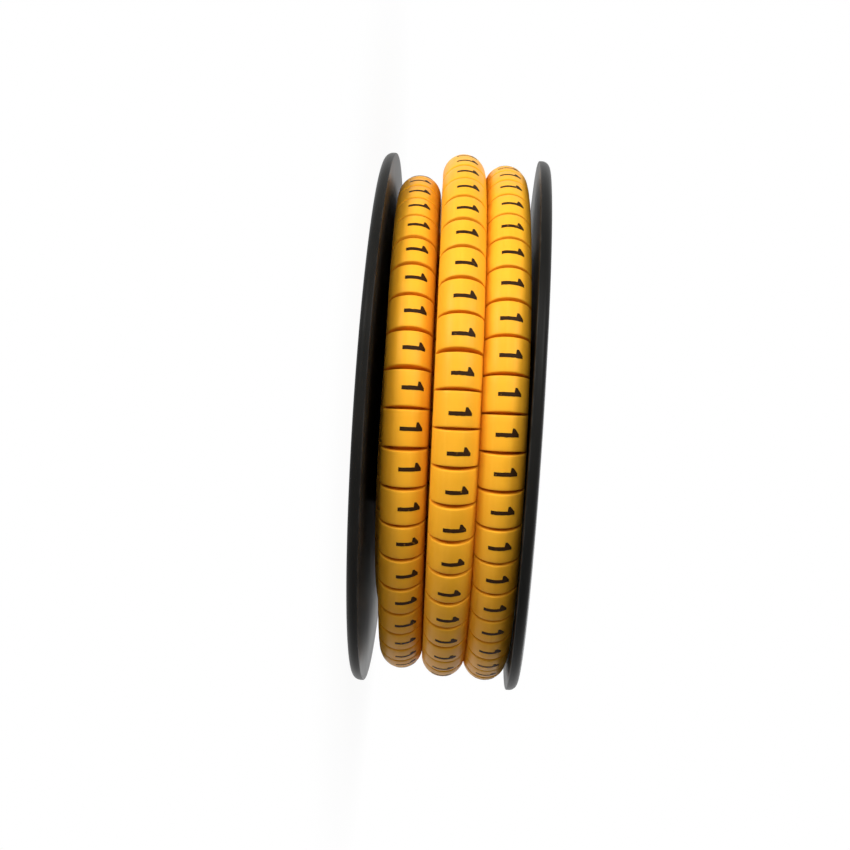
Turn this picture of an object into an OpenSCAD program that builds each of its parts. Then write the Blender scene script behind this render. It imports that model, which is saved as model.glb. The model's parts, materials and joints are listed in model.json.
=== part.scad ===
// Reel of cable markers: a moulded reel wound with a soft tube that is cut crosswise into short markers.
// The reel stands on one flange with its axis along +Z. All lengths are in millimetres.
// Each outer turn is two half turns that meet, tangent, on the plane y = 0.

/* [Reel] */
// Height of both flanges' rims above the lowest outer turn
flange_lip = 2.9; // [0.5:0.1:8]
// Thickness of a flange
flange_t = 1.5; // [1:0.1:3]
// Radius that rounds the rim of a flange towards its outer face
rim_round = 1.05; // [0.2:0.05:1.2]
// Radius that eases the rim's edge at the inner face
rim_edge = 0.15; // [0.1:0.05:0.3]
// Outside diameter of the hub that the strip is wound on
hub_d = 24; // [16:0.5:34]
// Wall of the hub, round the bore for a dispenser's rod
hub_wall = 2; // [1:0.1:4]

/* [Marker strip] */
// Outside diameter of the tube
tube_d = 5.8; // [3:0.1:8]
// Wall of the tube
tube_wall = 0.8; // [0.5:0.05:1.2]
// Length of one marker along the middle of the tube
marker_len = 4.4; // [3:0.02:8]
// Opening of the cut between two markers, at the middle of the tube
cut_w = 0.4; // [0.2:0.05:0.8]
// Height of the uncut side that joins the markers, from the tube's underside
joined_h = 2.9; // [1:0.1:3]

/* [Winding] */
// Full layers under the outer one
inner_layers = 3; // [1:1:5]
// How far each inner layer sinks between the turns below it
layer_nest = 0.8; // [0.2:0.05:0.9]
// How far the loose outer layer stands off its nested place
outer_slack = 1.4; // [1:0.1:3]
// Space between neighbouring turns of the outer layer
turn_gap = 0.1; // [0.1:0.05:0.6]
// Space between the hub and the first layer
hub_clearance = 0.1; // [0.05:0.05:0.5]
// Space between the strip and each flange, where they come nearest
side_gap = 0.1; // [0.1:0.05:1]
// Angle by which the outer layer is wound askew, up at the front and down at the back
winding_skew = 1.2; // [0:0.1:2]
// Rise of the strip along the front half of a turn
front_rise = 1.1; // [0:0.05:2]
// Height of each outer turn above the lowest one, where it crosses the -X side
lift_at_start = [0, 3.25, 1.95]; // [0:0.05:4]
// Height of each outer turn above the lowest one, where it crosses the +X side
lift_at_end = [0.85, 1.7, 1.75]; // [0:0.05:4]
// Length of strip from the -X side of each front half turn to its first cut
first_cut = [0.15, 2, -1.65]; // [-2.2:0.05:2.2]
// Distance from the reel's axis to the centre of the bend that climbs to the outer layer
climb_offset = 11; // [8:0.5:14]
// Markers on the loose end of the strip
end_markers = 4; // [2:1:5]
// Radius of the loose end's bend, which lifts it off the layer
end_bend_r = 90; // [60:1:200]

/* [Hidden] */

section_fn = 48;
sweep_fn = 180;
cut_margin = 1;
turns = len(lift_at_start);
// The tongue between two bends: its inset from the faces of the tube's wall, and its length
tongue_inset = 0.3 * tube_wall;
tongue_len = 2;

tube_r = tube_d / 2;
turn_pitch = tube_d + turn_gap;
layer_step = tube_d - layer_nest;
hub_bore_d = hub_d - 2 * hub_wall;

// Radii of the tube's middle in the inner layers and at the outer layer's lowest place
first_layer_r = hub_d / 2 + hub_clearance + tube_r;
last_layer_r = first_layer_r + (inner_layers - 1) * layer_step;
outer_r = last_layer_r + layer_step + outer_slack;
flange_r = outer_r + tube_r + flange_lip;

// The rim's round is limited by the flange's thickness
rim_r = min(rim_round, flange_t - 2 * rim_edge);

// Height of the first turn, which leaves room for the climb that leads down and back from it
climb_bend_r = outer_r - climb_offset;
first_z = flange_t + side_gap + tube_r + climb_bend_r * sin(winding_skew);

// Where a turn starts its front half on the -X side and ends it on the +X side
function start_r(turn) = outer_r + lift_at_start[turn];
function start_z(turn) = first_z + turn * turn_pitch;
function end_r(turn) = outer_r + lift_at_end[turn];
function end_z(turn) = start_z(turn) + front_rise;

// A half turn joins [radius, height] on the +X side to [radius, height] on the -X side
function bend_r(plus, minus) = norm([plus[0] + minus[0], plus[1] - minus[1]]) / 2;
function bend_length(plus, minus) = PI * bend_r(plus, minus);
function start_point(turn) = [start_r(turn), start_z(turn)];
function end_point(turn) = [end_r(turn), end_z(turn)];
function front_length(turn) = bend_length(end_point(turn), start_point(turn));
function back_length(turn) = bend_length(end_point(turn), start_point(turn + 1));

// Height of the strip's highest place, on the front of the last turn, and of the upper flange's inner face
last_bend_r = bend_r(end_point(turns - 1), start_point(turns - 1));
last_z = start_z(turns - 1) + front_rise / 2 + norm([front_rise / 2, last_bend_r * sin(winding_skew)]);
reel_inner_top = last_z + tube_r + side_gap;
reel_h = reel_inner_top + flange_t;

// A bend holds whole markers and stops at a cut, near the place where the next bend takes over.
// Distances along a bend are counted from the plane y = 0, where neighbouring bends are tangent.
function front_count(turn) = round((front_length(turn) - first_cut[turn]) / marker_len);
function last_cut(turn) = first_cut[turn] + front_count(turn) * marker_len;
function back_first(turn) = last_cut(turn) - front_length(turn);
function back_span(turn) = back_length(turn) + first_cut[turn + 1] - back_first(turn);
function back_count(turn) = round(back_span(turn) / marker_len);

// The climb from the last inner layer is a bend that starts inside that layer
climb_cos = (pow(last_layer_r, 2) - pow(climb_offset, 2) - pow(climb_bend_r, 2))
    / (2 * climb_offset * climb_bend_r);
climb_length = climb_bend_r * acos(climb_cos) * PI / 180;
climb_count = ceil(climb_length / marker_len);

function degrees_along(length, r) = length / r * 180 / PI;

module tube_section() {
    difference() {
        circle(r = tube_r, $fn = section_fn);
        circle(r = tube_r - tube_wall, $fn = section_fn);
    }
}

// Half section of the space that a cut opens, outward from the joined side
module cut_section() {
    translate([joined_h - tube_r, -tube_r - cut_margin])
        square([tube_d - joined_h + cut_margin, tube_d + 2 * cut_margin]);
}

// Straight tongue inside the joined side's wall, which carries the strip from one bend to the next
module tongue() {
    rotate([90, 0, 0])
        linear_extrude(tongue_len, center = true)
            difference() {
                circle(r = tube_r - tongue_inset, $fn = section_fn);
                circle(r = tube_r - tube_wall + tongue_inset, $fn = section_fn);
                translate([joined_h - tube_r - tongue_inset, -tube_r]) square(tube_d);
            }
}

// Sweeps a half section about Z at radius r, from one distance along the bend to another
module swept(r, from_angle, from, to) {
    rotate_extrude(
        angle = degrees_along(to - from, r),
        start = from_angle + degrees_along(from, r),
        $fn = sweep_fn
    )
        translate([r, 0]) children();
}

// A bend of count markers of the given length, with a cut between each two and half a cut at its ends
module marker_bend(r, from_angle, first, count, length) {
    difference() {
        swept(r, from_angle, first + cut_w / 2, first + count * length - cut_w / 2) tube_section();
        for (i = [1 : count - 1]) {
            cut = first + i * length;
            swept(r, from_angle, cut - cut_w / 2, cut + cut_w / 2) cut_section();
        }
    }
}

// Places a half turn between its [radius, height] on the +X side and on the -X side, tipped to reach both
module at_half_turn(plus, minus) {
    tip = asin((minus[1] - plus[1]) / (2 * bend_r(plus, minus)));
    translate([(plus[0] - minus[0]) / 2, 0, (plus[1] + minus[1]) / 2])
        rotate([-winding_skew, tip, 0]) children();
}

// Front half of a turn, with the tongues that join it to the bends before and after it
module front_half(turn) {
    r = bend_r(end_point(turn), start_point(turn));
    at_half_turn(end_point(turn), start_point(turn)) {
        marker_bend(r, 180, first_cut[turn], front_count(turn), marker_len);
        for (s = [first_cut[turn], last_cut(turn)])
            rotate(180 + degrees_along(s, r)) translate([r, 0]) tongue();
    }
}

// Back half of a turn, which carries the strip over to the next turn
module back_half(turn) {
    r = bend_r(end_point(turn), start_point(turn + 1));
    count = back_count(turn);
    at_half_turn(end_point(turn), start_point(turn + 1))
        marker_bend(r, 0, back_first(turn), count, back_span(turn) / count);
}

// Bend of the strip that climbs from the last inner layer to the start of the outer layer
module climb() {
    translate([-climb_offset, 0, start_z(0)])
        rotate([-winding_skew, 0, 0])
            marker_bend(climb_bend_r, 180, first_cut[0] - climb_count * marker_len, climb_count, marker_len);
}

// The last markers, which lift off the layer and end in an open tube
module loose_end() {
    turn = turns - 1;
    translate([end_r(turn) - end_bend_r, 0, end_z(turn)])
        rotate([-winding_skew, 0, 0])
            marker_bend(end_bend_r, 0, back_first(turn), end_markers, marker_len);
}

// The inner layers, wound tight and closed up into one body with a round for each turn
module inner_winding() {
    middle_z = first_z + front_rise / 2;
    rotate_extrude($fn = sweep_fn) {
        for (layer = [0 : inner_layers - 1], turn = [0 : turns - 1])
            translate([first_layer_r + layer * layer_step, middle_z + turn * turn_pitch])
                circle(r = tube_r, $fn = section_fn);
        translate([first_layer_r - tube_r, middle_z])
            square([last_layer_r - first_layer_r + tube_r, (turns - 1) * turn_pitch]);
    }
}

// Half section of a flange that stands on its outer face, with the rim rounded and its inner edge eased
module flange_section() {
    bore_r = hub_bore_d / 2;
    translate([bore_r, 0]) square([flange_r - rim_r - bore_r, flange_t]);
    translate([bore_r, rim_r]) square([flange_r - rim_edge - bore_r, flange_t - rim_r]);
    translate([bore_r, rim_r]) square([flange_r - bore_r, flange_t - rim_r - rim_edge]);
    translate([flange_r - rim_r, rim_r]) circle(r = rim_r, $fn = section_fn);
    translate([flange_r - rim_edge, flange_t - rim_edge]) circle(r = rim_edge, $fn = section_fn);
}

// Both flanges and the hub, moulded in one piece
module reel() {
    color([0.16, 0.16, 0.15])
        rotate_extrude($fn = sweep_fn) {
            flange_section();
            translate([0, reel_h]) mirror([0, 1]) flange_section();
            translate([hub_bore_d / 2, 0]) square([hub_wall, reel_h]);
        }
}

// The continuous strip: inner layers, the climb, the turns of the outer layer and the loose end
module marker_strip() {
    color([1, 0.77, 0.22]) {
        inner_winding();
        climb();
        for (turn = [0 : turns - 1]) front_half(turn);
        for (turn = [0 : turns - 2]) back_half(turn);
        loose_end();
    }
}

reel();
marker_strip();
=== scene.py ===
"""Looks of a reel of cable markers: a black moulded reel wound with a yellow tube slit into markers.

Shapes are worked out in millimetres and put into the meshes in metres. The reel's axis is Z and its lower
flange stands on z = 0. The photograph looks along +Y, with its right along +Z and its top along -X.
"""

import json

import bpy
import numpy as np
from mathutils import Matrix, Vector


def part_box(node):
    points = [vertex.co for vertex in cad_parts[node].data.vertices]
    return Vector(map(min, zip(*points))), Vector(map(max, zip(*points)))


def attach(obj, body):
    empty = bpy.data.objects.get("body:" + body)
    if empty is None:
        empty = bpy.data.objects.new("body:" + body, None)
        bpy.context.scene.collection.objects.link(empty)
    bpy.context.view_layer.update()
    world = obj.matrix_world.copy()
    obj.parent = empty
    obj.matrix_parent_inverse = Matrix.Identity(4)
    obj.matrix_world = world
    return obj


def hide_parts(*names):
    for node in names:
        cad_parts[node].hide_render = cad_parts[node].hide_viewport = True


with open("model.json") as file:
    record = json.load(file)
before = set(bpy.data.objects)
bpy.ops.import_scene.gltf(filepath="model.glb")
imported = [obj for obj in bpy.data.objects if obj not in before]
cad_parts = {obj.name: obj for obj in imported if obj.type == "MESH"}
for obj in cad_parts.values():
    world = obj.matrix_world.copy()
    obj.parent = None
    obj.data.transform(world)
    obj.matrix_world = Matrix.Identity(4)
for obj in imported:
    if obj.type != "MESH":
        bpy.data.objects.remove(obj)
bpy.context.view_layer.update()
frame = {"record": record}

MM = 0.001
rng = np.random.default_rng(seed=11)

# Sizes of the reel, from the frame where it holds them
FLANGE_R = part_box("reel")[1].x / MM
REEL_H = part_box("reel")[1].z / MM
BORE_R = next(m["dims"]["r_mm"] for m in frame["record"]["mounts"] if m["name"] == "hub_bore")
FLANGE_T = 1.5
FLANGE_LIP = 2.9
RIM_ROUND = 1.05
RIM_EDGE = 0.15
HUB_R = 12.0
HUB_FILLET = 0.5
BORE_ROUND = 0.25

# Points of the reel: around its axis, on each rounded corner and along each side of its half section
REEL_STEPS = 384
CORNER_POINTS = 9
SIDE_SHARES = np.array([0.012, 0.2, 0.4, 0.6, 0.8, 0.988])

# Sizes of the strip and its winding, as the solids have them
TUBE_R = 2.9
TUBE_WALL = 0.8
MARKER_LEN = 4.4
CUT_W = 0.4
SIDE_GAP = 0.1
TURN_PITCH = 5.9
LAYER_STEP = 5.0
OUTER_SLACK = 1.4
INNER_LAYERS = 3
WINDING_SKEW = np.radians(1.2)
FRONT_RISE = 1.1
LIFT_AT_START = (0.0, 3.25, 1.95)
LIFT_AT_END = (0.85, 1.7, 1.75)
FIRST_CUT = (0.15, 2.0, -1.65)
# Fine shift of each outer turn along the axis, from its start to its end, as the loose turns lie
TURN_SHIFT = ((0.0, 0.3), (-0.04, 0.14), (-0.08, 0.05))
# How much more each front half turn is askew than the layer
TURN_SKEW = np.radians((-0.24, 0.36, 0.14))
# How far the markers of each front half turn crowd and spread along it
TURN_CROWDING = (0.33, 0.0, 0.0)
CLIMB_OFFSET = 11.0
END_MARKERS = 4
END_BEND_R = 90.0
TURNS = len(FIRST_CUT)

OUTER_R = FLANGE_R - FLANGE_LIP - TUBE_R
LAST_LAYER_R = OUTER_R - OUTER_SLACK - LAYER_STEP
CLIMB_BEND_R = OUTER_R - CLIMB_OFFSET
FIRST_Z = FLANGE_T + SIDE_GAP + TUBE_R + CLIMB_BEND_R * np.sin(WINDING_SKEW)
INNER_Z = FIRST_Z + FRONT_RISE / 2

# Points around the tube, on the outer layer, the last inner layer and the layers under it
OUTER_COLUMNS = 44
INNER_COLUMNS = 32
CORE_COLUMNS = 20
# Points along each ring of the layers under the last inner one
CORE_STEPS = 120

# The slit between two markers: it gapes on the outer side and closes towards the joined side
CUT_DEPTH = 1.0
CUT_GAPE = (0.36, 0.52)
CUT_CLOSED = 0.3
CUT_FADE = 0.25
# Spread of the markers' own small shifts
MARKER_SHIFT = 0.03
# The bore at the loose end: how deep it is made, and how much of the slits' painted shade it has
BORE_SHOWN = 9.0
BORE_SHADE = 0.3

# Rows of half a marker, from its slit to its middle: share of the half gap, way past it, depth and painted
# shade
HALF_GAP_SHARE = np.array([0.0, 0.4, 0.8, 1.0, 1.0, 1.0, 1.0, 1.0])
HALF_PAST_EDGE = np.array([0.0, 0.0, 0.0, 0.0, 0.03, 0.09, 0.22, 0.9])
HALF_SUNK = np.array([CUT_DEPTH, CUT_DEPTH, 0.55, 0.17, 0.09, 0.055, 0.035, 0.012])
HALF_SHADE = np.array([1.0, 1.0, 0.6, 0.15, 0.05, 0.0, 0.0, 0.0])
# How many of these rows lie between the slit's middle and its edge
ROWS_IN_SLIT = 2

# The printed numeral: its height, its widths at stem, flag and tip, and the rows of points on its stem
DIGIT_H = 2.95
DIGIT_STEM = 0.46
DIGIT_W = 0.98
DIGIT_TIP = 0.32
STEM_ROWS = 7
# How far below its top the flag's foot and the two ends of its outer edge lie
FLAG_FOOT = 0.94
FLAG_ENDS = (0.84, 0.58)
# The ink's height above the skin, its root in it, and the spread of the print's places and edges
INK_T = 0.02
INK_ROOT = 0.04
PRINT_JITTER = 0.04
EDGE_JITTER = 0.012
# Turn of the print round the tube and its drift along it, from start to end of each outer turn's front
PRINT_TURN = ((0.1, 0.38), (0.19, 0.0), (0.15, 0.05))
PRINT_DRIFT = ((0.02, 0.02), (0.07, 0.87), (0.2, 0.1))
# Sway of the print round the tube along a bend
PRINT_SWAY = 0.06

# Colours, as linear light
YELLOW = (0.96, 0.455, 0.026, 1.0)
YELLOW_DEEP = (0.93, 0.425, 0.022, 1.0)
YELLOW_PALE = (0.98, 0.485, 0.034, 1.0)
# Red-brown of the painted shade in the slits and the bore
SLIT_SHADE_RED = (0.60, 0.18, 0.006, 1.0)
INK = (0.030, 0.013, 0.003, 1.0)
BLACK = (0.009, 0.009, 0.0083, 1.0)
BLACK_GREY = (0.013, 0.0127, 0.0118, 1.0)
# Grey of the painted highlight along the rims' sharp edges, and of the faint rub
RUB_AND_HIGHLIGHT_GREY = (0.032, 0.031, 0.029, 1.0)
WHITE = (1.0, 1.0, 1.0, 1.0)
AMBIENT = (0.025, 0.025, 0.025, 1.0)
FLOOR_GREY = (0.7, 0.7, 0.7, 1.0)

# Scales of the finishes' patterns per metre, and of the streaks along and round the tube per millimetre
VINYL_CLOUD = 140.0
VINYL_GRAIN = 2600.0
VINYL_STREAK = (0.04, 1.8, 0.0)
INK_SPECK = 1900.0
REEL_CLOUD = 90.0
REEL_GRAIN = 3200.0
REEL_RUB = 420.0
# The values between which clouds, streaks, specks, and the rubs and the rim edges' painted highlight set in
CLOUD_EDGES = (0.35, 0.7)
STREAK_EDGES = (0.45, 0.75)
SPECK_EDGES = (0.70, 0.86)
RUB_EDGES = (0.40, 0.66)
# How strongly full streaks and specks change the tone
STREAK_SHARE = 0.4
SPECK_SHARE = 0.5
# A faint rub on the rim of the lower flange, in metres
SCUFF_PLACE = (-0.0235, -0.0275, 0.0015)
SCUFF_REACH = (0.0003, 0.0016)

# The floor: half its side in millimetres, its glow near the reel, and where that grows to full in metres
FLOOR_REACH = 3000.0
FLOOR_GLOW = 0.94
FLOOR_FADE = (0.038, 0.075)

# Square lamps: name, place in metres, side in metres, power in watts, colour
WARM_LIGHT = (1.0, 0.99, 0.97)
PLAIN_LIGHT = (1.0, 1.0, 1.0)
LAMPS = (
    ("key_above", (-0.165, -0.194, 0.266), 0.14, 0.58, WARM_LIGHT),
    ("key_below", (-0.180, -0.180, -0.243), 0.14, 0.78, WARM_LIGHT),
    ("key_middle", (-0.241, -0.268, 0.011), 0.14, 0.30, WARM_LIGHT),
    ("key_front", (-0.165, -0.293, 0.130), 0.14, 0.28, WARM_LIGHT),
    ("back", (0.06, 0.30, 0.28), 0.25, 0.8, PLAIN_LIGHT),
    ("top", (0.1, 0.06, 0.42), 0.3, 0.2, PLAIN_LIGHT),
)

# The camera, fitted to the photograph
IMAGE_PX = 850
LENS_PX = 1485.0
SENSOR_MM = 36.0
CAMERA_DISTANCE = 212.13
CAMERA_HEIGHT = 14.04
CAMERA_YAW = np.radians(-1.75)
CAMERA_PITCH = np.radians(-0.214)
CAMERA_ROLL = np.radians(3.608)
CLIP_START = 0.01


class Bend:
    """A round stretch of tube: cuts along a circle that is skewed about X and then tipped about Y.

    Each of its markers is shifted a little outward and round the tube.
    """

    def __init__(self, centre, radius, from_angle, first, count, length, tip=0.0, skew=WINDING_SKEW):
        self.centre = np.array(centre)
        self.radius = radius
        self.from_angle = from_angle
        self.first = first
        self.count = count
        self.length = length
        self.shift = rng.normal(0, MARKER_SHIFT, (2, count))
        self.turn = np.array(Matrix.Rotation(tip, 3, "Y") @ Matrix.Rotation(-skew, 3, "X"))
        self.crowding = 0.0

    def printed(self, turn, drift):
        """Sets the print's turn round the tube and its drift along it, from the bend's start to its end."""
        self.print_turn = turn
        self.print_drift = drift
        return self

    def cuts(self):
        """Distances along the bend of its cuts: even steps plus the crowding times two waves of a sine."""
        step = np.arange(self.count + 1)
        return self.first + self.length * step + self.crowding * np.sin(4 * np.pi * step / self.count)

    def section(self, distance, around, radius):
        """Points on the tube.

        Each is the circle's point at the angle distance / radius, plus the tube's radius outward times the
        cosine, and upward times the sine, of the angle around the tube.
        """
        angle = self.from_angle + distance / self.radius
        flat = np.stack([np.cos(angle), np.sin(angle), np.zeros_like(angle)], -1)
        outward = flat @ self.turn.T
        middle = self.centre + self.radius * outward
        out_part = (radius * np.cos(around))[..., None] * outward
        up_part = (radius * np.sin(around))[..., None] * self.turn[:, 2]
        return middle + out_part + up_part


def half_turn(plus, minus, from_angle, first, count, length, more_skew=0.0):
    """Bend whose circle has (radius, height) on the +X side and on the -X side as a diameter's ends."""
    radius = np.hypot(plus[0] + minus[0], plus[1] - minus[1]) / 2
    tip = np.arcsin((minus[1] - plus[1]) / (2 * radius))
    centre = ((plus[0] - minus[0]) / 2, 0.0, (plus[1] + minus[1]) / 2)
    return Bend(centre, radius, from_angle, first, count, length, tip, WINDING_SKEW + more_skew)


def half_turn_length(plus, minus):
    """Half the circle that has both points as the ends of a diameter."""
    return np.pi * np.hypot(plus[0] + minus[0], plus[1] - minus[1]) / 2


def strip_bends():
    """The outer layer in order: the climb out of the inner layers, the half turns and the loose end."""
    level = [FIRST_Z + TURN_PITCH * i for i in range(TURNS)]
    start = [(OUTER_R + LIFT_AT_START[i], level[i] + TURN_SHIFT[i][0]) for i in range(TURNS)]
    end = [(OUTER_R + LIFT_AT_END[i], level[i] + FRONT_RISE + TURN_SHIFT[i][1]) for i in range(TURNS)]
    climb_cos = (LAST_LAYER_R**2 - CLIMB_OFFSET**2 - CLIMB_BEND_R**2) / (2 * CLIMB_OFFSET * CLIMB_BEND_R)
    climb_count = int(np.ceil(CLIMB_BEND_R * np.arccos(climb_cos) / MARKER_LEN))
    climb_first = FIRST_CUT[0] - climb_count * MARKER_LEN
    climb = Bend((-CLIMB_OFFSET, 0.0, FIRST_Z), CLIMB_BEND_R, np.pi, climb_first, climb_count, MARKER_LEN)
    bends = [climb.printed(PRINT_TURN[0][:1] * 2, PRINT_DRIFT[0][:1] * 2)]
    for i in range(TURNS):
        front_length = half_turn_length(end[i], start[i])
        count = round((front_length - FIRST_CUT[i]) / MARKER_LEN)
        front = half_turn(end[i], start[i], np.pi, FIRST_CUT[i], count, MARKER_LEN, TURN_SKEW[i])
        front.crowding = TURN_CROWDING[i]
        bends.append(front.printed(PRINT_TURN[i], PRINT_DRIFT[i]))
        back_first = front.cuts()[-1] - front_length
        if i + 1 < TURNS:
            span = half_turn_length(end[i], start[i + 1]) + FIRST_CUT[i + 1] - back_first
            count = round(span / MARKER_LEN)
            back = half_turn(end[i], start[i + 1], 0.0, back_first, count, span / count)
            turn = PRINT_TURN[i][1:] + PRINT_TURN[i + 1][:1]
            drift = PRINT_DRIFT[i][1:] + PRINT_DRIFT[i + 1][:1]
            bends.append(back.printed(turn, drift))
    loose_centre = (end[-1][0] - END_BEND_R, 0.0, end[-1][1])
    loose = Bend(loose_centre, END_BEND_R, 0.0, back_first, END_MARKERS, MARKER_LEN)
    bends.append(loose.printed(PRINT_TURN[-1][1:] * 2, PRINT_DRIFT[-1][1:] * 2))
    return bends


def inner_rings():
    """The turns of the last inner layer, each a closed ring of whole markers."""
    count = round(2 * np.pi * LAST_LAYER_R / MARKER_LEN)
    length = 2 * np.pi * LAST_LAYER_R / count
    rings = []
    for i in range(TURNS):
        centre = (0.0, 0.0, INNER_Z + TURN_PITCH * i)
        ring = Bend(centre, LAST_LAYER_R, 0.0, rng.uniform(0, length), count, length, skew=0.0)
        rings.append(ring.printed(PRINT_TURN[i][:1] * 2, PRINT_DRIFT[0][:1] * 2))
    return rings


def slit_rows(bend, columns):
    """Rows of points on a bend's markers, each marker from its cut to the next, and their pattern values.

    A row lies at its cut, plus or minus a share of the half gap and a way past its edge. The half gap
    follows the cosine of the angle around the tube, so a slit gapes outside and narrows to the sides. A
    row is sunk below the tube's radius by its depth times a smooth step of that cosine.
    """
    around = np.linspace(-np.pi, np.pi, columns, endpoint=False)
    outer = np.clip(np.cos(around), 0, 1)
    step = np.clip(outer / CUT_FADE, 0, 1)
    fade = step * step * (3 - 2 * step)
    opening = rng.uniform(*CUT_GAPE, bend.count + 1) / 2
    gap = opening[:, None] * (CUT_CLOSED + (1 - CUT_CLOSED) * outer)
    cuts = bend.cuts()[:, None, None]
    reach = HALF_GAP_SHARE[:, None] * gap[:, None, :] + HALF_PAST_EDGE[:, None]
    near = cuts[:-1] + reach[:-1]
    far = cuts[1:] - reach[1:]
    middle = np.broadcast_to((cuts[:-1] + cuts[1:]) / 2, near[:, :1].shape)
    distance = np.concatenate([near, middle, far[:, :0:-1]], axis=1)
    sunk = np.concatenate([HALF_SUNK, [0.0], HALF_SUNK[:0:-1]])[:, None]
    # Painted shade of the slits: full at their bottom, less up their walls, none past their edges
    slit = np.concatenate([HALF_SHADE, [0.0], HALF_SHADE[:0:-1]])[:, None]
    shift = bend.shift[:, :, None, None]
    radius = np.broadcast_to(TUBE_R - sunk * fade + shift[0] * outer, distance.shape)
    turn = np.broadcast_to(around + shift[1] / TUBE_R, distance.shape)
    points = bend.section(distance, turn, radius)
    pattern = np.stack(np.broadcast_arrays(distance, around * TUBE_R, slit * fade), -1)
    return points.reshape(-1, columns, 3), pattern.reshape(-1, columns, 3)


def grid_faces(rows, columns, close_rows):
    """Quads of a grid that is closed across its columns, and along its rows where asked."""
    row = np.arange(rows if close_rows else rows - 1)[:, None]
    column = np.arange(columns)[None, :]
    below = (row + 1) % rows
    right = (column + 1) % columns
    corners = [(row, column), (below, column), (below, right), (row, right)]
    places = np.broadcast_arrays(*[down * columns + along for down, along in corners])
    return np.stack(places, -1).reshape(-1, 4)


def fan_faces(row_first, columns, pole, at_end):
    """Triangles that close a grid's first or last row to a pole."""
    here = row_first + np.arange(columns)
    after = row_first + (np.arange(columns) + 1) % columns
    poles = np.full(columns, pole)
    order = [here, poles, after] if at_end else [here, after, poles]
    return np.stack(order, -1)


class Finish:
    """The nodes of one finish: every node comes from one method, which wraps an output of it."""

    def __init__(self, tree):
        self.tree = tree
        tree.nodes.clear()

    def node(self, kind, settings=None, inputs=None, output=0):
        """Adds a node, sets its settings, then sets or links its sockets, and wraps one of its outputs."""
        made = self.tree.nodes.new(kind)
        for name, value in (settings or {}).items():
            setattr(made, name, value)
        for name, value in (inputs or {}).items():
            if isinstance(value, Wire):
                self.tree.links.new(value.socket, made.inputs[name])
            else:
                made.inputs[name].default_value = value
        return None if output is None else Wire(self, made.outputs[output])

    def place(self):
        """A point of the piece, in its own coordinates."""
        return self.node("ShaderNodeTexCoord", output="Object")

    def attribute(self, name, output):
        """A value that the piece's mesh holds at each point."""
        return self.node("ShaderNodeAttribute", {"attribute_name": name}, None, output)

    def noise(self, vector, scale, detail=2.0):
        """Cloudy value from 0 to 1."""
        inputs = {"Vector": vector, "Scale": scale, "Detail": detail}
        return self.node("ShaderNodeTexNoise", None, inputs, "Fac")

    def mix(self, factor, first, second):
        """Colour between two colours."""
        return self.node("ShaderNodeMix", {"data_type": "RGBA"}, {0: factor, 6: first, 7: second}, 2)

    def bump(self, height, strength, distance):
        """Normal that follows a height."""
        inputs = {"Height": height, "Strength": strength, "Distance": distance}
        return self.node("ShaderNodeBump", None, inputs)

    def surface(self, **sockets):
        """Ends the finish in one shader with these sockets."""
        named = {name.replace("_", " "): value for name, value in sockets.items()}
        shader = self.node("ShaderNodeBsdfPrincipled", None, named)
        self.node("ShaderNodeOutputMaterial", None, {"Surface": shader}, None)


class Wire:
    """A node's output, with the arithmetic that the finishes use."""

    def __init__(self, finish, socket):
        self.finish = finish
        self.socket = socket

    def maths(self, operation, first, second):
        """Math node on two values."""
        return self.finish.node("ShaderNodeMath", {"operation": operation}, {0: first, 1: second})

    def __add__(self, other):
        return self.maths("ADD", self, other)

    def __rsub__(self, other):
        return self.maths("SUBTRACT", other, self)

    def __mul__(self, other):
        return self.maths("MULTIPLY", self, other)

    __radd__ = __add__
    __rmul__ = __mul__

    def between(self, low, high):
        """0 below low, 1 above high, and smooth between them."""
        inputs = {"Value": self, "From Min": low, "From Max": high}
        return self.finish.node("ShaderNodeMapRange", {"interpolation_type": "SMOOTHSTEP"}, inputs)

    def other(self, name):
        """Another output of the same node."""
        return Wire(self.finish, self.socket.node.outputs[name])

    def part(self, name):
        """X, Y or Z of a vector."""
        return self.finish.node("ShaderNodeSeparateXYZ", None, {0: self}, name)

    def away(self, point):
        """Distance of a vector from a point."""
        settings = {"operation": "DISTANCE"}
        return self.finish.node("ShaderNodeVectorMath", settings, {0: self, 1: point}, "Value")

    def stretched(self, scale):
        """The vector times a scale for each axis."""
        return self.finish.node("ShaderNodeVectorMath", {"operation": "MULTIPLY"}, {0: self, 1: scale})


def new_finish(name):
    """A material and the finish that fills its nodes."""
    material = bpy.data.materials.new(name)
    material.use_nodes = True
    return material, Finish(material.node_tree)


def vinyl():
    """Soft yellow vinyl: cloudy tone, faint streaks along the tube, and painted shade in red-brown in the
    slits.
    """
    material, skin = new_finish("marker_vinyl")
    place = skin.place()
    pattern = skin.attribute("pattern", "Vector")
    slit = pattern.part("Z")
    cloud = skin.noise(place, VINYL_CLOUD, detail=3.0)
    streak = skin.noise(pattern.stretched(VINYL_STREAK), scale=1.0)
    grain = skin.noise(place, VINYL_GRAIN)
    tone = skin.mix(cloud.between(*CLOUD_EDGES), YELLOW, YELLOW_DEEP)
    tone = skin.mix(streak.between(*STREAK_EDGES) * STREAK_SHARE, tone, YELLOW_PALE)
    # Painted shade: the slits turn red-brown as far as their shade value goes
    tone = skin.mix(slit, tone, SLIT_SHADE_RED)
    roughness = 0.36 + 0.12 * cloud + 0.25 * slit
    normal = skin.bump(grain * 0.5 + streak, strength=0.1, distance=0.00005)
    skin.surface(Base_Color=tone, Roughness=roughness, Normal=normal, Specular_IOR_Level=0.12)
    return material


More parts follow.
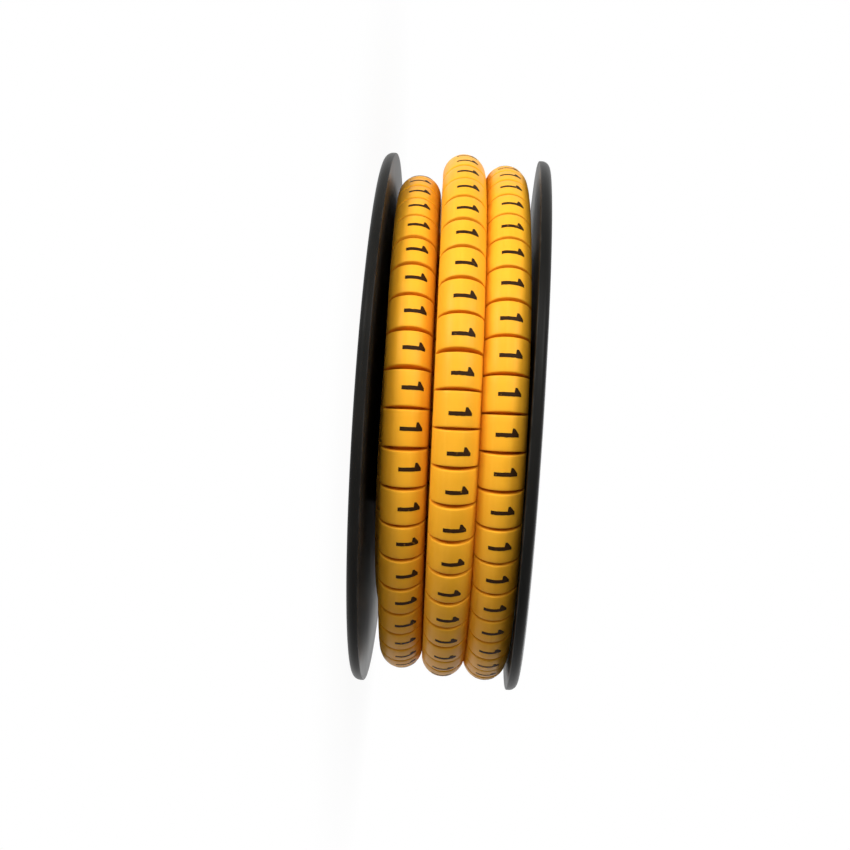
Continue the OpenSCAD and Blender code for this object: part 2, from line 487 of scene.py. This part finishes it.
def ink():
    """Dark print, thin and worn in specks where the vinyl shows through."""
    material, skin = new_finish("print_ink")
    place = skin.place()
    wear = skin.attribute("wear", "Fac")
    speck = skin.noise(place, INK_SPECK, detail=3.0)
    worn = (speck + 0.1 * wear).between(*SPECK_EDGES)
    tone = skin.mix(worn * SPECK_SHARE, INK, YELLOW_DEEP)
    skin.surface(Base_Color=tone, Roughness=0.6 - 0.15 * worn, Specular_IOR_Level=0.08)
    return material


def reel_plastic():
    """Satin black moulding: cloudy black, fine grain, a grey painted highlight on the rims' edges, one
    faint rub.
    """
    material, skin = new_finish("reel_plastic")
    place = skin.place()
    rim = skin.attribute("rim", "Fac")
    cloud = skin.noise(place, REEL_CLOUD, detail=3.0)
    grain = skin.noise(place, REEL_GRAIN)
    rubbed = skin.noise(place, REEL_RUB, detail=4.0)
    tone = skin.mix(cloud.between(*CLOUD_EDGES), BLACK, BLACK_GREY)
    scuff = 1 - place.away(SCUFF_PLACE).between(*SCUFF_REACH)
    # Painted highlight along the rims' sharp edges, mottled by the rub noise, plus the faint rub at one
    # place
    worn = rim * 0.7 + scuff
    tone = skin.mix(worn * rubbed.between(*RUB_EDGES), tone, RUB_AND_HIGHLIGHT_GREY)
    roughness = 0.27 + 0.14 * cloud
    normal = skin.bump(grain + 0.6 * rubbed, strength=0.12, distance=0.00004)
    skin.surface(Base_Color=tone, Roughness=roughness, Normal=normal, Specular_IOR_Level=0.05)
    return material


def seen_rays(skin):
    """1 for rays from the camera and those that a gloss or a clear material sends on, 0 for the rest."""
    path = skin.node("ShaderNodeLightPath", output="Is Camera Ray")
    return path + path.other("Is Glossy Ray") + path.other("Is Transmission Ray")


def floor_white():
    """White floor that glows to the camera, and keeps part of its shade near the reel for the shadow."""
    material, skin = new_finish("floor_white")
    far = skin.place().away((0.0, 0.0, 0.0)).between(*FLOOR_FADE)
    glowing = seen_rays(skin) * (FLOOR_GLOW + (1 - FLOOR_GLOW) * far)
    glow = skin.node("ShaderNodeEmission", None, {"Color": WHITE, "Strength": 1.0})
    matt = skin.node("ShaderNodeBsdfDiffuse", None, {"Color": FLOOR_GREY})
    mixed = skin.node("ShaderNodeMixShader", None, {0: glowing, 1: matt, 2: glow})
    skin.node("ShaderNodeOutputMaterial", None, {"Surface": mixed}, None)
    return material


def put_mesh(name, points, faces, material, smooth=True, **values):
    """Object at the origin from points in millimetres and arrays of faces, with values at its points."""
    mesh = bpy.data.meshes.new(name)
    corners = [face for part in faces for face in part.tolist()]
    mesh.from_pydata((points.reshape(-1, 3) * MM).tolist(), [], corners)
    for key, value in values.items():
        kind, field = ("FLOAT_VECTOR", "vector") if value.shape[-1] == 3 else ("FLOAT", "value")
        layer = mesh.attributes.new(key, kind, "POINT")
        layer.data.foreach_set(field, value.astype(np.float32).ravel())
    if smooth:
        mesh.shade_smooth()
    mesh.materials.append(material)
    made = bpy.data.objects.new(name, mesh)
    bpy.context.scene.collection.objects.link(made)
    return made


def put_piece(made, node):
    """Makes an object a piece of the part that stands for a node."""
    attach(made, "root")
    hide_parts(node)


def rounded_outline(corners, radii):
    """Closed outline of square corners, each rounded by a quarter circle, with points along each side.

    With a and b the directions to the corners before and after, a corner's arc has its centre at the corner
    plus its radius times a + b, and runs from -b to -a about it.
    """
    before = np.roll(corners, 1, axis=0) - corners
    after = np.roll(corners, -1, axis=0) - corners
    a = before / np.linalg.norm(before, axis=1, keepdims=True)
    b = after / np.linalg.norm(after, axis=1, keepdims=True)
    swing = np.linspace(0, np.pi / 2, CORNER_POINTS)[:, None]
    centre = corners + radii[:, None] * (a + b)
    spoke = b[:, None] * np.cos(swing) + a[:, None] * np.sin(swing)
    arcs = centre[:, None] - radii[:, None, None] * spoke
    side_start = arcs[:, -1:]
    side_end = np.roll(arcs, -1, axis=0)[:, :1]
    sides = side_start + SIDE_SHARES[:, None] * (side_end - side_start)
    return np.concatenate([arcs, sides], axis=1)


def reel(material):
    """Both flanges and the hub: the rounded half section turned about Z."""
    inner_top = REEL_H - FLANGE_T
    corners = np.array(
        [
            (BORE_R, 0.0),
            (FLANGE_R, 0.0),
            (FLANGE_R, FLANGE_T),
            (HUB_R, FLANGE_T),
            (HUB_R, inner_top),
            (FLANGE_R, inner_top),
            (FLANGE_R, REEL_H),
            (BORE_R, REEL_H),
        ]
    )
    at_rim = corners[:, 0] == FLANGE_R
    at_hub = corners[:, 0] == HUB_R
    at_face = (corners[:, 1] == 0.0) | (corners[:, 1] == REEL_H)
    sharp = at_rim & ~at_face
    radii = np.select([sharp, at_rim, at_hub], [RIM_EDGE, RIM_ROUND, HUB_FILLET], BORE_ROUND)
    outline = rounded_outline(corners, radii)
    on_arc = np.arange(outline.shape[1]) < CORNER_POINTS
    # Painted highlight mask: 1 on the small rounded edges between each rim and its flange's inner face
    rim = (sharp[:, None] & on_arc).astype(float).ravel()
    outline = outline.reshape(-1, 2)
    swing = np.linspace(0, 2 * np.pi, REEL_STEPS, endpoint=False)[:, None]
    across = outline[:, 0] * np.cos(swing)
    back = outline[:, 0] * np.sin(swing)
    points = np.stack(np.broadcast_arrays(across, back, outline[:, 1]), -1)
    faces = [grid_faces(REEL_STEPS, len(outline), True)]
    rim_values = np.tile(rim, REEL_STEPS)[:, None]
    made = put_mesh("reel_moulding", points, faces, material, rim=rim_values)
    put_piece(made, "reel")


def outer_strip(bends, material):
    """The outer layer: the slit rows of all its bends in one skin, closed at its hidden start by a pole.

    Its loose end is an open tube: from the last slit's edge the skin steps in to the bore, runs back along
    it and closes on a pole.
    """
    rows_made = [slit_rows(bend, OUTER_COLUMNS) for bend in bends]
    last = bends[-1]
    around = np.linspace(-np.pi, np.pi, OUTER_COLUMNS, endpoint=False)
    end = np.full(OUTER_COLUMNS, last.cuts()[-1] - CUT_W / 2)
    bore = np.full(OUTER_COLUMNS, TUBE_R - TUBE_WALL)
    mouth = last.section(end, around, bore)
    deep = last.section(end - BORE_SHOWN, around, bore)
    skin = np.concatenate([points for points, _ in rows_made])[:-ROWS_IN_SLIT]
    points = np.concatenate([skin, mouth[None], deep[None]])
    pattern = np.concatenate([values for _, values in rows_made])[:-ROWS_IN_SLIT]
    # The bore's open end gets part of the slits' painted shade
    inside = np.stack([end, around * TUBE_R, np.full(OUTER_COLUMNS, BORE_SHADE)], -1)
    pattern = np.concatenate([pattern, inside[None], inside[None]])
    rows = len(points)
    poles = np.stack([points[0].mean(axis=0), points[-1].mean(axis=0)])
    pole_values = np.stack([pattern[0].mean(axis=0), pattern[-1].mean(axis=0)])
    first_pole = rows * OUTER_COLUMNS
    faces = [
        grid_faces(rows, OUTER_COLUMNS, False),
        fan_faces(0, OUTER_COLUMNS, first_pole, False),
        fan_faces(first_pole - OUTER_COLUMNS, OUTER_COLUMNS, first_pole + 1, True),
    ]
    points = np.concatenate([points.reshape(-1, 3), poles])
    pattern = np.concatenate([pattern.reshape(-1, 3), pole_values])
    made = put_mesh("outer_strip", points, faces, material, pattern=pattern)
    put_piece(made, "marker_strip")


def core_ring(layer, turn):
    """A plain ring of tube in a layer that the last inner layer covers, with its pattern values."""
    radius = LAST_LAYER_R - LAYER_STEP * layer
    centre = (0.0, 0.0, INNER_Z + TURN_PITCH * turn)
    ring = Bend(centre, radius, from_angle=0.0, first=0.0, count=1, length=1.0, skew=0.0)
    around = np.linspace(-np.pi, np.pi, CORE_COLUMNS, endpoint=False)
    distance = np.linspace(0, 2 * np.pi * radius, CORE_STEPS, endpoint=False)[:, None]
    distance, around = np.broadcast_arrays(distance, around)
    points = ring.section(distance, around, np.full(around.shape, TUBE_R))
    pattern = np.stack([distance, around * TUBE_R, np.zeros(around.shape)], -1)
    return points, pattern


def inner_turns(rings, material):
    """The inner layers: slit rings on the outside, plain rings under them, in one piece."""
    grids = [slit_rows(ring, INNER_COLUMNS) for ring in rings]
    grids += [core_ring(layer, turn) for layer in range(1, INNER_LAYERS) for turn in range(TURNS)]
    faces = []
    first = 0
    for points, _ in grids:
        faces.append(first + grid_faces(points.shape[0], points.shape[1], True))
        first += points.shape[0] * points.shape[1]
    points = np.concatenate([points.reshape(-1, 3) for points, _ in grids])
    pattern = np.concatenate([values.reshape(-1, 3) for _, values in grids])
    made = put_mesh("inner_turns", points, faces, material, pattern=pattern)
    put_piece(made, "marker_strip")


def digit_outline():
    """Heights up the numeral, and its reach across at each: the stem, the flag and the slant to the tip."""
    stem = np.linspace(0, DIGIT_H - FLAG_FOOT, STEM_ROWS)
    slant = np.array([1.0, 0.5, 0.0]) * FLAG_ENDS[1]
    height = np.concatenate([stem, [DIGIT_H - FLAG_ENDS[0]], DIGIT_H - slant])
    tip_reach = DIGIT_TIP + (DIGIT_W - DIGIT_TIP) * slant / FLAG_ENDS[1]
    reach = np.concatenate([np.full(STEM_ROWS, DIGIT_STEM), [DIGIT_W], tip_reach])
    return height, reach


def bend_numerals(bend):
    """A numeral on each marker of a bend: a thin slab, its height round the tube and its width along it.

    It lies on its marker's skin, the tube's radius plus the marker's shift times the cosine of the angle
    around. Its turn round the tube sways with the cosine of its share of the bend.
    """
    height, reach = digit_outline()
    share = (np.arange(bend.count) + 0.5) / bend.count
    jitter = rng.normal(0, PRINT_JITTER, (2, bend.count))
    drift = np.interp(share, (0, 1), bend.print_drift) + jitter[0]
    sway = PRINT_SWAY * np.cos(2 * np.pi * share)
    turn = np.interp(share, (0, 1), bend.print_turn) - sway + (bend.shift[1] + jitter[1]) / TUBE_R
    cuts = bend.cuts()
    middle = (cuts[:-1] + cuts[1:]) / 2 + drift
    rough = rng.normal(0, EDGE_JITTER, (bend.count, len(height), 2))
    low = rough[..., 0]
    high = reach + rough[..., 1]
    across = np.stack([low, low, high, high], -1)
    distance = middle[:, None, None] - (across - DIGIT_STEM / 2)
    around = turn[:, None, None] + ((height - DIGIT_H / 2) / TUBE_R)[:, None]
    skin = TUBE_R + bend.shift[0][:, None, None] * np.cos(around)
    level = skin + np.array([-INK_ROOT, INK_T, INK_T, -INK_ROOT])
    distance, around, level = np.broadcast_arrays(distance, around, level)
    return bend.section(distance, around, level)


def numerals(bends, material):
    """The print of all markers: on each numeral a grid of four points around and two end caps."""
    points = np.concatenate([bend_numerals(bend) for bend in bends])
    count, rows, columns = points.shape[:3]
    first = rows * columns * np.arange(count)[:, None, None]
    walls = grid_faces(rows, columns, False) + first
    start_cap = np.arange(columns) + first
    end_cap = rows * columns - 1 - np.arange(columns) + first
    faces = [part.reshape(-1, 4) for part in (walls, start_cap, end_cap)]
    wear = np.repeat(rng.uniform(0, 1, count), rows * columns)[:, None]
    made = put_mesh("printed_numerals", points, faces, material, smooth=False, wear=wear)
    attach(made, "root")


def put_lamp(name, place, side, power, colour, target):
    """Square lamp that looks from a place to a target, both in metres."""
    light = bpy.data.lights.new(name, "AREA")
    light.shape = "SQUARE"
    light.size = side
    light.energy = power
    light.color = colour
    lamp = bpy.data.objects.new(name, light)
    lamp.location = place
    lamp.rotation_euler = (Vector(target) - Vector(place)).to_track_quat("-Z", "Y").to_euler()
    bpy.context.scene.collection.objects.link(lamp)


def studio():
    """White surroundings for the camera, soft light for the object and a white floor for its shadow.

    The floor casts no shadow itself, so the lamp below it lights the side that the camera sees.
    """
    scene = bpy.context.scene
    scene.view_settings.view_transform = "Standard"
    world = bpy.data.worlds.new("studio")
    world.use_nodes = True
    scene.world = world
    sky = Finish(world.node_tree)
    colour = sky.mix(seen_rays(sky), AMBIENT, WHITE)
    glow = sky.node("ShaderNodeBackground", None, {"Color": colour})
    sky.node("ShaderNodeOutputWorld", None, {"Surface": glow}, None)
    corners = FLOOR_REACH * np.array([(-1, -1, 0), (1, -1, 0), (1, 1, 0), (-1, 1, 0)])
    floor = put_mesh("floor", corners, [np.arange(4)[None]], floor_white(), smooth=False)
    floor.visible_shadow = False
    middle = (0.0, 0.0, REEL_H * MM / 2)
    for name, place, side, power, tint in LAMPS:
        put_lamp(name, place, side, power, tint, middle)


def camera():
    """Camera at the photograph's place: it looks along +Y, then is turned by its yaw, pitch and roll."""
    right = np.array([0.0, 0.0, 1.0])
    up = np.array([-1.0, 0.0, 0.0])
    ahead = np.array([0.0, 1.0, 0.0])
    cos, sin = np.cos(CAMERA_YAW), np.sin(CAMERA_YAW)
    right, ahead = cos * right - sin * ahead, cos * ahead + sin * right
    cos, sin = np.cos(CAMERA_PITCH), np.sin(CAMERA_PITCH)
    ahead, up = cos * ahead + sin * up, cos * up - sin * ahead
    cos, sin = np.cos(CAMERA_ROLL), np.sin(CAMERA_ROLL)
    right, up = cos * right + sin * up, cos * up - sin * right
    place = np.array([0.0, -CAMERA_DISTANCE, CAMERA_HEIGHT]) * MM
    matrix = np.eye(4)
    matrix[:3] = np.column_stack([right, up, -ahead, place])
    data = bpy.data.cameras.new("camera")
    data.sensor_width = SENSOR_MM
    data.lens = LENS_PX / IMAGE_PX * SENSOR_MM
    data.clip_start = CLIP_START
    made = bpy.data.objects.new("camera", data)
    made.matrix_world = Matrix(matrix.tolist())
    bpy.context.scene.collection.objects.link(made)
    bpy.context.scene.camera = made


def main():
    """Makes the pieces, the studio and the camera."""
    outer = strip_bends()
    inner = inner_rings()
    yellow = vinyl()
    reel(reel_plastic())
    outer_strip(outer, yellow)
    inner_turns(inner, yellow)
    numerals(outer + inner, ink())
    studio()
    camera()


main()
